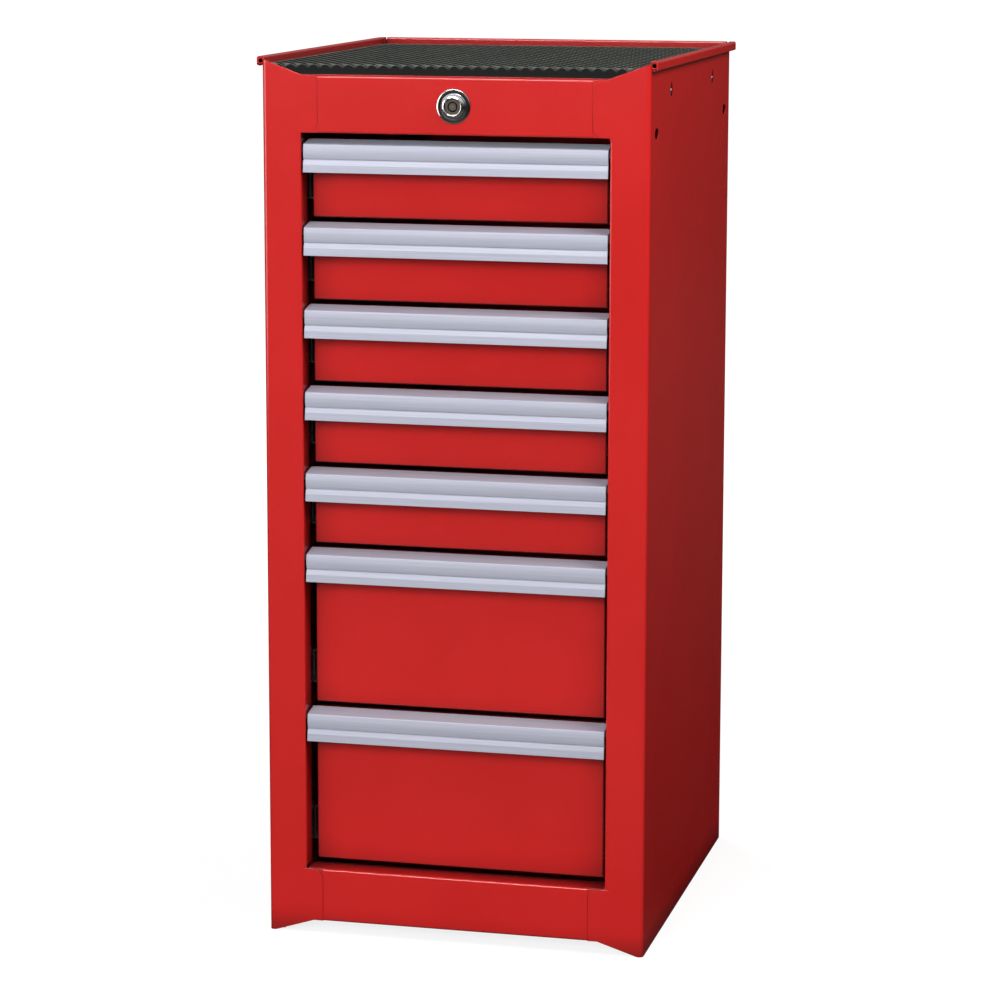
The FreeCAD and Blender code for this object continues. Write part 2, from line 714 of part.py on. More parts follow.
def top_mat():
    """The rubber mat in the top tray, ribbed from front to back."""
    mat = Piece("top_mat", z=panel_top)
    flat = size.mat_thickness - size.mat_rib_height
    crest = size.mat_rib_crest / 2
    foot = crest + size.mat_rib_slope
    ribs_beside = int((plate_half.value - foot.value) / size.mat_rib_pitch.value)
    outline = [(-plate_half, 0), (-plate_half, flat)]
    for number in range(-ribs_beside, ribs_beside + 1):
        middle = size.mat_rib_pitch * number
        outline += [
            (middle - foot, flat), (middle - crest, size.mat_thickness),
            (middle + crest, size.mat_thickness), (middle + foot, flat),
        ]
    outline += [(plate_half, flat), (plate_half, 0)]
    mat.pad("XZ", [outline], size.mat_setback, plate_end)
    return mat


def hanging_screws():
    """The four pan head screws in the folds of the top panel, one in each keyhole."""
    screws = Piece("hanging_screws")
    places = ((front_screw, screw_level), (rear_screw, screw_level))
    screws.pad("YZ", [Circle(y, z, size.screw_head / 2) for y, z in places],
               plate_half, plate_half + size.screw_head_height)
    screws.pad("YZ", [Circle(y, z, size.screw_shank / 2) for y, z in places],
               plate_half - size.screw_length, plate_half)
    screws.mirror()
    return screws


def lock_housing():
    """The body of the lock, with its stepped ring in front of the header."""
    housing = Piece("lock_housing", z=lock_level)
    bore = size.plug_width / 2 + size.running_gap
    rim = size.bezel_width / 2
    crown = size.crown_width / 2
    barrel = size.barrel_width / 2
    bevel = size.bezel_bevel
    housing.revolve([
        (0, barrel), (0, rim), (-bevel, rim), (-size.bezel_skirt, crown),
        (-size.bezel_depth, crown - bevel), (-size.bezel_depth, bore), (size.barrel_length, bore),
        (size.barrel_length, barrel),
    ])
    return housing


def lock_nut():
    """The nut that holds the lock in the header."""
    nut = Piece("lock_nut", z=lock_level)
    flat = size.nut_flats / 2
    corner = flat / cosine(term(HEXAGON_HALF_ANGLE))
    half_edge = corner / 2
    hexagon = [(corner, 0), (half_edge, flat), (-half_edge, flat), (-corner, 0),
               (-half_edge, -flat), (half_edge, -flat)]
    bore = size.barrel_width / 2 + size.running_gap
    nut.pad("XZ", [hexagon, Circle(0, 0, bore)], size.sheet, size.sheet + size.nut_height)
    return nut


def lock_plug():
    """The turning plug with its round keyway."""
    plug = Piece("lock_plug", z=lock_level)
    radius = size.plug_width / 2
    face = -size.bezel_depth + size.plug_recess
    floor = face + size.keyway_depth
    plug.revolve([
        (face, 0), (face, size.keyway_pin / 2), (floor, size.keyway_pin / 2),
        (floor, size.keyway_width / 2), (face, size.keyway_width / 2), (face, radius),
        (size.barrel_length + size.plug_tail, radius), (size.barrel_length + size.plug_tail, 0),
    ])
    return plug


def lock_rod():
    """The rod that carries the plug's turn to the back, ending in a crank disc with its pin."""
    rod = Piece("lock_rod", z=lock_level)
    rod.pad("XZ", [Circle(0, 0, size.rod_width / 2)], size.barrel_length + size.plug_tail, crank_front)
    rod.pad("XZ", [Circle(0, 0, size.crank_radius + size.crank_rim)], crank_front, crank_back)
    rod.pad("XZ", [Circle(-crank_side, -crank_drop, size.crank_pin / 2)],
            crank_back, bar_back + size.pin_past)
    return rod


def rod_bracket():
    """The bracket under the top panel that carries the rear end of the rod."""
    bracket = Piece("lock_rod_bracket")
    half = size.bracket_width / 2
    start = bracket_start
    under = panel_top - size.sheet
    low = lock_level - size.bracket_drop
    thick = size.bar_sheet
    bracket.pad("YZ", [[
        (start, low), (start + thick, low), (start + thick, under - thick),
        (start + size.bracket_foot, under - thick), (start + size.bracket_foot, under),
        (start, under, Bevel(size.tight_bevel)),
    ]], -half, half)
    hole = size.rod_width / 2 + size.running_gap
    bracket.cut("XZ", [Circle(0, lock_level, hole)], start - PAST, start + thick + PAST)
    return bracket


def drawer_levels():
    """For each drawer: its number, the level of its pull's top edge and its front's height."""
    drawers = []
    level = opening_top - size.first_gap
    for number in range(1, SHALLOW_DRAWERS + DEEP_DRAWERS + 1):
        share = 1 if number <= SHALLOW_DRAWERS else 2
        drawers.append((number, level, share * pitch - size.drawer_gap))
        level = level - share * pitch
    return drawers


def lock_bar(drawers):
    """The bar that rises behind the drawers, with a catch for each hook and slots for its rivets."""
    bar = Piece("lock_bar")
    pin_level = lock_level - crank_drop
    catches = [level - size.tray_room - hook_lip - size.catch_gap for _, level, _ in drawers]
    half = size.bar_width / 2
    low = catches[-1] - size.bar_foot
    bar.pad("XZ", [box(-half, low, half, pin_level + size.bar_head, size.bar_sheet)],
            bar_front, bar_back)
    lip = bar_front - size.catch_reach
    profiles = []
    for top in catches:
        floor = top - catch_lip
        profiles.append([
            (lip, floor), (bar_front, floor), (bar_front, floor + size.bar_sheet),
            (lip + size.bar_sheet, floor + size.bar_sheet), (lip + size.bar_sheet, top), (lip, top),
        ])
    bar.pad("YZ", profiles, -size.catch_width / 2, size.catch_width / 2)
    clear = size.crank_pin / 2 + size.pin_slack
    middle = (crank_side + size.crank_radius) / 2
    length = size.crank_radius - crank_side + 2 * clear
    outlines = [slot(-middle, pin_level, length, 2 * clear)]
    radius = size.rivet_width / 2 + size.rivet_slack
    for _, level, _ in drawers_with_rivet(drawers):
        rivet = level - size.rivet_drop
        outlines.append(upright_slot(0, rivet - stroke - size.rivet_slack, rivet + size.rivet_slack, radius))
    bar.cut("XZ", outlines, bar_front - PAST, bar_back + PAST)
    return bar


def drawers_with_rivet(drawers):
    """The drawers that have a shoulder rivet of the lock bar behind them."""
    return [drawer for drawer in drawers if drawer[0] in RIVETED_DRAWERS]


def lock_bar_rivets(drawers):
    """The shoulder rivets in the back panel on which the lock bar slides."""
    rivets = Piece("lock_bar_rivets")
    levels = [level - size.rivet_drop for _, level, _ in drawers_with_rivet(drawers)]
    shoulder = bar_front - size.rivet_slack
    rivets.pad("XZ", [Circle(0, level, size.rivet_width / 2) for level in levels], shoulder, back_inside)
    rivets.pad("XZ", [Circle(0, level, size.rivet_head / 2) for level in levels],
               shoulder - size.rivet_head_height, shoulder)
    return rivets


def tray(label, level, height):
    """A drawer's tray: folded sides with closed hems, end walls and the hook at the back."""
    piece = Piece(label, z=level)
    thick = size.drawer_sheet
    low = size.tray_lift - height
    rim = -size.tray_room
    fold = Bevel(size.tight_bevel)
    inner = tray_half - thick
    hemmed = tray_half - 2 * thick
    start = size.front_setback + thick
    piece.pad("XZ", [[
        (-tray_half, low, fold), (tray_half, low, fold), (tray_half, rim), (hemmed, rim),
        (hemmed, rim - size.tray_hem), (inner, rim - size.tray_hem), (inner, low + thick),
        (-inner, low + thick), (-inner, rim - size.tray_hem), (-hemmed, rim - size.tray_hem),
        (-hemmed, rim), (-tray_half, rim),
    ]], start, tray_end)
    wall = box(-inner, low + thick, inner, rim)
    piece.pad("XZ", [wall], start, start + thick)
    piece.pad("XZ", [wall], tray_end - thick, tray_end)
    hook_end = tray_end + size.hook_reach
    piece.pad("YZ", [[
        (tray_end - thick, rim - thick), (hook_end - thick, rim - thick),
        (hook_end - thick, rim - hook_lip), (hook_end, rim - hook_lip), (hook_end, rim),
        (tray_end - thick, rim),
    ]], -size.hook_width / 2, size.hook_width / 2)
    return piece


def drawer_front(label, level, height):
    """A drawer's front: a shallow pan with folded edges."""
    piece = Piece(label, z=level)
    half = opening_half - size.front_side_gap
    thick = size.drawer_sheet
    face = size.front_setback
    piece.pad("XZ", [box(-half, -height, half, 0)], face, face + size.front_depth)
    piece.bevel_edges(size.front_bevel, lambda edge: edge.BoundBox.YMax < face.value + thick.value / 2)
    piece.cut("XZ", [box(thick - half, thick - height, half - thick, -thick)],
              face + thick, face + size.front_depth + PAST)
    return piece


def pull(label, level):
    """A drawer's pull: an extruded grip over the full width of the opening."""
    piece = Piece(label, z=level)
    face = size.front_setback
    wall = size.pull_wall
    set_in = size.pull_set
    foot_set = size.pull_foot_set
    nose_top = -size.pull_fall
    face_top = nose_top - size.pull_nose
    face_foot = face_top - size.pull_face
    band_top = face_foot - size.pull_groove
    band_foot = band_top - size.pull_band
    inside = set_in + size.pull_groove + wall
    piece.pad("YZ", [[
        (face, 0), (set_in + size.pull_nose, nose_top), Curve(size.pull_nose, 1),
        (set_in, face_top), Curve(size.pull_crown, 1), (set_in, face_foot),
        (set_in + size.pull_groove, face_foot), (set_in + size.pull_groove, band_top),
        (set_in, band_top), (foot_set, band_foot), (0, -size.pull_height), (wall, -size.pull_height),
        (wall + foot_set, band_foot), (inside, band_top), (inside, face_top - wall),
        (inside + size.pull_nose, nose_top - wall), (face - wall, -wall), (face - wall, -size.pull_leg),
        (face, -size.pull_leg),
    ]], size.pull_side_gap - opening_half, opening_half - size.pull_side_gap)
    return piece


def slide_pair(label, level, outline, start, length):
    """A pair of members of a drawer's slides, from the section of the right one."""
    pair = Piece(label, y=start, z=level)
    pair.pad("XZ", [outline], 0, length)
    pair.mirror()
    return pair


def outer_slides(label, level):
    """The members on the uprights: channels whose lips hold the balls in."""
    low = slide_plane - size.slide_lip
    lip = low + size.slide_sheet
    lip_end = size.member_height / 2 + size.lip_gap
    web = slide_plane - size.slide_sheet
    inner = slide_half - size.slide_sheet
    fold = Bevel(size.tight_bevel)
    outline = [
        (slide_plane, -slide_half, fold), (slide_plane, slide_half, fold), (low, slide_half, fold),
        (low, lip_end), (lip, lip_end), (lip, inner), (web, inner), (web, -inner), (lip, -inner),
        (lip, -lip_end), (low, -lip_end), (low, -slide_half, fold),
    ]
    return slide_pair(label, level, outline, size.slide_start, slide_length)


def inner_slides(label, level):
    """The members on the tray: plain channels that run on the balls."""
    half = size.member_height / 2
    tip = tray_half + size.member_depth
    web = tray_half + size.slide_sheet
    inner = half - size.slide_sheet
    fold = Bevel(size.tight_bevel)
    outline = [
        (tray_half, -half, fold), (tip, -half), (tip, -inner), (web, -inner), (web, inner),
        (tip, inner), (tip, half), (tray_half, half, fold),
    ]
    return slide_pair(label, level, outline, size.slide_start, slide_length)


def ball_cages(label, level):
    """The cages that carry the balls and travel half as far as the drawer."""
    web = slide_plane - size.slide_sheet - size.cage_gap
    thick = size.cage_sheet
    low = web - size.cage_lip
    high = size.member_height / 2 + (size.ball_size + thick) / 2
    outline = [
        (web, -high), (web, high), (low, high), (low, high - thick), (web - thick, high - thick),
        (web - thick, thick - high), (low, thick - high), (low, -high),
    ]
    start = size.slide_start + size.drawer_travel / 2
    return slide_pair(label, level, outline, start, slide_length - size.drawer_travel)


def drawer(number, level, height):
    """The six pieces of one drawer and its slides."""
    name = "drawer_%d_" % number
    slide_level = level - height + size.tray_lift + size.slide_lift
    return [
        tray(name + "tray", level, height), drawer_front(name + "front", level, height),
        pull(name + "pull", level), inner_slides(name + "inner_slides", slide_level),
        ball_cages(name + "ball_cages", slide_level), outer_slides(name + "outer_slides", slide_level),
    ]


levels = drawer_levels()
pieces = [
    side_panel("left_side_panel", -1), side_panel("right_side_panel", 1), back_panel(), top_panel(),
    bottom_panel(), header_rail(), base_rail(), uprights("front_uprights", front_slot),
    uprights("rear_uprights", rear_slot), top_mat(), hanging_screws(), lock_housing(), lock_nut(),
    lock_plug(), lock_rod(), rod_bracket(), lock_bar(levels), lock_bar_rivets(levels),
]
for number, level, height in levels:
    pieces.extend(drawer(number, level, height))

doc.recompute()
for item in doc.Objects:
    if "Invalid" in item.State or "Error" in item.State:
        raise RuntimeError("%s failed" % item.Label)
os.makedirs("parts", exist_ok=True)
for piece in pieces:
    shape = piece.body.Shape
    if shape.isNull() or not shape.isValid():
        raise RuntimeError("%s has no valid shape" % piece.label)
for piece in pieces:
    piece.body.Shape.exportStep("parts/%s.step" % piece.body.Label)
    print(piece.label, len(piece.body.Shape.Solids), round(piece.body.Shape.Volume))
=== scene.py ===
import json
import math

import bmesh
import bpy
from mathutils import Matrix, Vector


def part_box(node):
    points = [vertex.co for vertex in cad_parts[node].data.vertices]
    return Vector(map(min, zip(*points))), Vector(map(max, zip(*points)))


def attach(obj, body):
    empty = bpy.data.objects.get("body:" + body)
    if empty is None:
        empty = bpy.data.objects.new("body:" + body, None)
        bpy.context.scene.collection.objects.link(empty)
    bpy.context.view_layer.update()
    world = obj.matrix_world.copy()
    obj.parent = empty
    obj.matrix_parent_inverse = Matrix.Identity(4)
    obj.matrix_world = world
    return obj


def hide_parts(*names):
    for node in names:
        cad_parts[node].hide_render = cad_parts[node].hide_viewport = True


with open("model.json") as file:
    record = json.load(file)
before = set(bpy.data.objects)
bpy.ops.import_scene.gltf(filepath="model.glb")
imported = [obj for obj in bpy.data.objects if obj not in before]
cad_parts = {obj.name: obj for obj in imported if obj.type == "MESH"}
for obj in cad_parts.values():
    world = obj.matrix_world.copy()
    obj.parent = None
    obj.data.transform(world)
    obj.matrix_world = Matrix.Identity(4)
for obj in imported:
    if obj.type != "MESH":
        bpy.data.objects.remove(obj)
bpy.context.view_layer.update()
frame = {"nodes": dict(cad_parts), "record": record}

bl_info = {
    "name": "Tool chest side cabinet",
    "version": (1, 0, 0),
    "blender": (4, 5, 0),
    "location": "3D View > Sidebar > Side cabinet",
    "description": "Finishes and fine pieces of a steel side cabinet with seven drawers",
    "category": "Object",
}

MM = 0.001
FULL_TURN = 2 * math.pi
WHITE = (1, 1, 1, 1)
SIDES = (-1, 1)
DRAWERS = range(1, 8)
SIDE_PLANE = 200.0  # outer face of a side panel, in millimetres from the middle

LOCK_LEVEL = sum(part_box("lock_plug")[n].z for n in (0, 1)) / 2
MAT_LOW, MAT_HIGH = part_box("top_mat")
MAT_TOP = MAT_HIGH.z

# The camera is fitted to the corners of the cabinet and of the drawer fronts in the photograph.
CAMERA_PLACE = (0.8285, -3.4442, 1.0815)
CAMERA_YAW, CAMERA_PITCH, CAMERA_ROLL = 0.23803, 0.16736, -0.00193
CAMERA_LENS, CAMERA_SENSOR = 119.47, 36
CAMERA_SHIFT = -0.05


def linear(code):
    """The linear colour of an sRGB hex code."""
    shares = [int(code[n:n + 2], 16) / 255 for n in (1, 3, 5)]
    return tuple(s / 12.92 if s <= 0.04045 else ((s + 0.055) / 1.055) ** 2.4 for s in shares)


# ---- materials ----

def add_node(tree, kind, sockets=(), **settings):
    """Add a node, set its properties, and fill its sockets with values or with other nodes' outputs."""
    node = tree.nodes.new(kind)
    for name, value in settings.items():
        setattr(node, name, value)
    for name, value in dict(sockets).items():
        if isinstance(value, bpy.types.NodeSocket):
            tree.links.new(value, node.inputs[name])
        else:
            node.inputs[name].default_value = value
    return node


def new_material(name):
    """An empty material with its node tree and the object's own coordinates, which are in metres."""
    material = bpy.data.materials.new(name)
    material.use_nodes = True
    tree = material.node_tree
    tree.nodes.clear()
    place = add_node(tree, "ShaderNodeTexCoord").outputs["Object"]
    return material, tree, place


def finish_material(tree, sockets):
    """Put a Principled shader with these sockets on the material's output."""
    shader = add_node(tree, "ShaderNodeBsdfPrincipled", sockets)
    add_node(tree, "ShaderNodeOutputMaterial", {"Surface": shader.outputs["BSDF"]})


def opaque(colour):
    """A linear colour as the sockets of nodes take it."""
    return (*colour, 1)


def blended(tree, share, first, second):
    """The output that goes from the first colour to the second as the share goes from 0 to 1."""
    sockets = {"Factor": share, "A": first, "B": second}
    return add_node(tree, "ShaderNodeMix", sockets, data_type="RGBA").outputs["Result"]


def mapped(tree, value, start, end, low=0.0, high=1.0, **settings):
    """The output that goes from low to high as the value goes from start to end."""
    sockets = {"Value": value, "From Min": start, "From Max": end, "To Min": low, "To Max": high}
    return add_node(tree, "ShaderNodeMapRange", sockets, **settings).outputs["Result"]


def computed(tree, operation, *values):
    """The output of a sum on one value or two."""
    return add_node(tree, "ShaderNodeMath", dict(enumerate(values)), operation=operation).outputs["Value"]


def per_mm(size):
    """The scale of a texture whose cells are this many millimetres wide."""
    return 1 / (size * MM)


def noise(tree, place, size, **sockets):
    """The output of a noise whose grains are this many millimetres wide."""
    return add_node(tree, "ShaderNodeTexNoise", {"Vector": place, "Scale": per_mm(size), **sockets}).outputs["Fac"]


def drawn_out(tree, place, scale):
    """Coordinates that stretch a texture along one axis, as a die or a roll does."""
    return add_node(tree, "ShaderNodeMapping", {"Vector": place, "Scale": scale}).outputs["Vector"]


def rounded(tree, radius):
    """The normal with the edges rounded by this radius."""
    return add_node(tree, "ShaderNodeBevel", {"Radius": radius}, samples=4).outputs["Normal"]


def bumped(tree, height, strength, depth, normal=None):
    """The normal that a pattern this many millimetres deep gives, on top of another normal if there is one."""
    sockets = {"Height": height, "Strength": strength, "Distance": depth * MM}
    if normal is not None:
        sockets["Normal"] = normal
    return add_node(tree, "ShaderNodeBump", sockets).outputs["Normal"]


def red_powder_coat(paint):
    """Gloss polyester powder coat, sprayed dry on sheet steel and baked.

    It levels to a fine orange peel, pulls thin over folded edges, and dulls a little in broad soft patches.
    """
    material, tree, place = new_material("red_powder_coat")
    patches = noise(tree, place, 140, Detail=3.0, Roughness=0.55)
    colour = blended(tree, mapped(tree, patches, 0.3, 0.7), opaque(paint.colour), opaque(paint.deep_colour))
    # Painted shade: the colour darkens to near black in inner corners, gaps, recesses and under the pulls, by how
    # closely other surfaces stand round within 35 mm.
    reach = add_node(tree, "ShaderNodeAmbientOcclusion", {"Distance": 35 * MM}, samples=8).outputs["AO"]
    colour_with_painted_shade = blended(tree, mapped(tree, reach, 0.18, 0.9), opaque(linear("#1E1718")), colour)
    grain = noise(tree, place, 1.3, Detail=2.0)
    rough = mapped(tree, grain, 0.25, 0.75, paint.roughness - 0.03, paint.roughness + 0.03)
    # The peel is drawn 3 mm wide, twice its real size, so that it shows at a millimetre to the pixel.
    peel = noise(tree, place, 3, Detail=2.0)
    finish_material(tree, {
        "Base Color": colour_with_painted_shade, "Roughness": rough, "Specular IOR Level": paint.gloss,
        "Normal": bumped(tree, peel, 0.35, 0.05, rounded(tree, paint.edge_radius))})
    return material


def satin_anodised_aluminium(pull):
    """Extruded aluminium, etched and anodised satin.

    The die draws fine lines along the length, and the etch spreads every highlight into a soft band.
    """
    material, tree, place = new_material("satin_anodised_aluminium")
    # Die lines are a few hundredths of a millimetre apart and are drawn 0.9 mm apart to show.
    lines = noise(tree, drawn_out(tree, place, (0.006, 1, 1)), 0.9, Detail=3.0)
    colour = blended(tree, mapped(tree, lines, 0.3, 0.7), opaque(pull.colour), opaque(pull.deep_colour))
    etch = noise(tree, place, 1.1, Detail=2.0)
    rough = mapped(tree, etch, 0.25, 0.75, pull.roughness - 0.05, pull.roughness + 0.05)
    finish_material(tree, {
        "Base Color": colour, "Metallic": 0.08, "Roughness": rough, "Specular IOR Level": 0.2,
        "Normal": bumped(tree, lines, 0.3, 0.03, rounded(tree, 0.5 * MM))})
    return material


def bright_zinc_plate():
    """Zinc plated on rolled steel and passivated clear.

    It is a bluish grey metal with cloudy patches where the bath left it duller.
    """
    material, tree, place = new_material("bright_zinc_plate")
    clouds = noise(tree, place, 9, Detail=4.0)
    # The marks of the rolls are finer than this and are drawn 0.8 mm apart to show.
    lines = noise(tree, drawn_out(tree, place, (1, 0.02, 1)), 0.8)
    finish_material(tree, {
        "Base Color": blended(tree, clouds, opaque(linear("#C9CDD2")), opaque(linear("#A9ADB2"))),
        "Metallic": 1.0, "Roughness": mapped(tree, clouds, 0.0, 1.0, 0.24, 0.44),
        "Normal": bumped(tree, lines, 0.25, 0.03)})
    return material


def polished_chrome():
    """Chromium plated over nickel and buffed.

    It mirrors the room almost sharply, under a faint haze of hairline scratches from keys and rags.
    """
    material, tree, place = new_material("polished_chrome")
    haze = noise(tree, place, 2.2, Detail=5.0)
    finish_material(tree, {
        "Base Color": opaque(linear("#C8CACB")), "Metallic": 1.0,
        "Roughness": mapped(tree, haze, 0.0, 1.0, 0.05, 0.16)})
    return material


def turned_nickel_silver():
    """A key plug turned from nickel silver and left bare.

    It is a warm grey, duller than the ring, with the rings of the lathe tool on its face.
    """
    material, tree, place = new_material("turned_nickel_silver")
    centred = add_node(tree, "ShaderNodeMapping", {
        "Vector": place, "Location": (0, 0, -LOCK_LEVEL), "Scale": (1, 0, 1)}).outputs["Vector"]
    # Tool marks are about 0.1 mm apart. They are drawn as broad rings, 2 pi times 0.7 mm apart, to show. The
    # texture has 20 / (2 pi) rings in each of its cells, hence the 20.
    rings = add_node(tree, "ShaderNodeTexWave", {
        "Vector": centred, "Scale": per_mm(0.7) / 20, "Distortion": 0.4},
        wave_type="RINGS", rings_direction="Y").outputs["Fac"]
    turned = blended(tree, rings, opaque(linear("#8C8278")), opaque(linear("#6A6158")))
    # Painted shade blackens the keyway and its lips, 4.5 mm from the axis.
    radius = add_node(tree, "ShaderNodeVectorMath", {0: centred}, operation="LENGTH").outputs["Value"]
    apart = computed(tree, "ABSOLUTE", computed(tree, "SUBTRACT", radius, 4.5 * MM))
    outside_keyway_shade = mapped(tree, apart, 0.5 * MM, 1.1 * MM)
    finish_material(tree, {
        "Base Color": blended(tree, outside_keyway_shade, opaque(linear("#0C0B0A")), turned), "Metallic": 1.0,
        "Roughness": 0.34, "Normal": bumped(tree, rings, 0.3, 0.03)})
    return material


def moulded_rubber(mat):
    """Black rubber, compression moulded with a knobbed top.

    The mould gives it a fine grain. The knobs' tops and upward slopes are painted paler in soft patches, as painted
    light, and the tops are rubbed smoother; the hollows and steep sides stay near black as painted shade.
    """
    material, tree, place = new_material("moulded_rubber")
    parts = add_node(tree, "ShaderNodeSeparateXYZ", {"Vector": place})
    # On the first two rows from the front edge, the painted light reaches down to the knobs' feet, and so does the
    # smoother rubbed finish.
    lit_and_rubbed_start = mapped(tree, parts.outputs["Y"], MAT_LOW.y + mat.knob_pitch, MAT_LOW.y + 2 * mat.knob_pitch,
                       MAT_TOP - 0.9 * mat.knob_height, MAT_TOP - 0.17 * mat.knob_height)
    # Painted light and shade: the colour goes paler the higher a place stands and the more it faces up, and darker
    # in the hollows and on steep sides. The same share makes the tops smoother, as rubbed wear.
    rise = mapped(tree, parts.outputs["Z"], lit_and_rubbed_start, MAT_TOP)
    normal = add_node(tree, "ShaderNodeNewGeometry").outputs["True Normal"]
    slope = add_node(tree, "ShaderNodeSeparateXYZ", {"Vector": normal}).outputs["Z"]
    lit_and_rubbed = computed(tree, "MULTIPLY", rise, mapped(tree, slope, 0.05, 0.3))
    bloom = noise(tree, place, 30, Detail=4.0)
    patchy_lit_and_rubbed = computed(tree, "MULTIPLY", lit_and_rubbed, bloom)
    # The mould's grain is drawn 1.2 mm wide, several times its real size, to show.
    grit = noise(tree, place, 1.2, Detail=3.0)
    finish_material(tree, {
        "Base Color": blended(tree, patchy_lit_and_rubbed, opaque(mat.shaded_hollow_colour), opaque(mat.lit_knob_colour)),
        "Roughness": mapped(tree, lit_and_rubbed, 0.0, 1.0, 0.85, 0.4), "Specular IOR Level": 0.2,
        "Normal": bumped(tree, grit, 0.5, 0.12)})
    return material


# ---- shapes ----

def show_piece(name, mesh, body, material):
    """Put a mesh in the scene as a piece that rides on a body."""
    piece = bpy.data.objects.new(name, mesh)
    bpy.context.scene.collection.objects.link(piece)
    mesh.materials.clear()
    mesh.materials.append(material)
    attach(piece, body)
    return piece


def show_coated(name, meshes):
    """Join meshes into a piece of the case that has the same paint as its sheets."""
    paint = frame["nodes"]["left_side_panel"].material_slots[0].material
    show_piece(name, joined_mesh(name, meshes), "cabinet", paint)


def mesh_of(form, name):
    """The mesh of a bmesh, which is used up."""
    mesh = bpy.data.meshes.new(name)
    form.to_mesh(mesh)
    form.free()
    return mesh


def smooth(mesh, crease=0.6):
    """Shade a mesh smooth, but for edges sharper than this angle in radians."""
    mesh.shade_smooth()
    mesh.set_sharp_from_angle(angle=crease)
    return mesh


def facing(place, out):
    """The matrix that puts a piece turned about +Z at a place, with +Z pointing out."""
    return Matrix.Translation(place) @ Vector(out).to_track_quat("Z", "Y").to_matrix().to_4x4()


def arc(middle, radius, start, end, count):
    """Points along an arc, in degrees from the first of the two axes towards the second."""
    turns = [math.radians(start + (end - start) * n / (count - 1)) for n in range(count)]
    return [(middle[0] + radius * math.cos(t), middle[1] + radius * math.sin(t)) for t in turns]


def turned_mesh(name, profile, steps, matrix):
    """A mesh turned from a profile of (out, radius) points in millimetres. A radius of 0 closes it on the axis."""
    form = bmesh.new()
    rings = []
    for out, radius in profile:
        if radius == 0:
            rings.append([form.verts.new((0, 0, out * MM))] * steps)
            continue
        rings.append([form.verts.new((radius * MM * math.cos(FULL_TURN * n / steps),
                                      radius * MM * math.sin(FULL_TURN * n / steps), out * MM))
                      for n in range(steps)])
    closed = profile[0][1] and profile[-1][1]
    pairs = list(zip(rings, rings[1:])) + ([(rings[-1], rings[0])] if closed else [])
    for first, second in pairs:
        for n in range(steps):
            corners = (first[n], first[n - 1], second[n - 1], second[n])
            form.faces.new(dict.fromkeys(corners))
    bmesh.ops.recalc_face_normals(form, faces=form.faces)
    form.transform(matrix)
    return smooth(mesh_of(form, name))


def joined_mesh(name, meshes):
    """One mesh out of several."""
    form = bmesh.new()
    for mesh in meshes:
        form.from_mesh(mesh)
        bpy.data.meshes.remove(mesh)
    return smooth(mesh_of(form, name))


def box_mesh(name, low, high):
    """A block between two corners, for cutting."""
    form = bmesh.new()
    bmesh.ops.create_cube(form, size=1)
    size = [b - a for a, b in zip(low, high)]
    centre = [(a + b) / 2 for a, b in zip(low, high)]
    form.transform(Matrix.Translation(centre) @ Matrix.Diagonal((*size, 1)))
    return mesh_of(form, name)


def plate_mesh(name, outline, start, end):
    """A plate from an outline of (x, z) points, between two distances along Y, all in millimetres."""
    form = bmesh.new()
    front = [form.verts.new((x * MM, start * MM, z * MM)) for x, z in outline]
    rear = [form.verts.new((x * MM, end * MM, z * MM)) for x, z in outline]
    form.faces.new(front)
    form.faces.new(rear)
    for n in range(len(outline)):
        form.faces.new((front[n - 1], front[n], rear[n], rear[n - 1]))
    bmesh.ops.recalc_face_normals(form, faces=form.faces)
    return mesh_of(form, name)


def cut_mesh(name, mesh, tool):
    """The mesh less the tool's room."""
    body, cutter = bpy.data.objects.new("body", mesh), bpy.data.objects.new("cutter", tool)
    for item in (body, cutter):
        bpy.context.scene.collection.objects.link(item)
    change = body.modifiers.new("cut", "BOOLEAN")
    change.operation = "DIFFERENCE"
    change.solver = "EXACT"
    change.object = cutter
    bpy.context.view_layer.update()
    graph = bpy.context.evaluated_depsgraph_get()
    result = bpy.data.meshes.new_from_object(body.evaluated_get(graph))
    result.name = name
    for item in (body, cutter):
        bpy.data.objects.remove(item)
    for spent in (mesh, tool):
        bpy.data.meshes.remove(spent)
    return result


def knob_rise(x, y, mat):
    """Height over the mat's flat at a place, on rounded knobs set in rows like the cells of a honeycomb."""
    row_step = mat.knob_pitch * math.sqrt(3) / 2
    row = round(y / row_step)
    nearest = mat.knob_pitch
    for near_row in (row - 1, row, row + 1):
        shift = (near_row % 2) / 2
        column = round(x / mat.knob_pitch - shift) + shift
        nearest = min(nearest, math.hypot(x - column * mat.knob_pitch, y - near_row * row_step))
    share = nearest / (mat.knob_width / 2)
    fullness = 0.6
    return mat.knob_height * (1 - share ** 2) ** fullness if share < 1 else 0.0


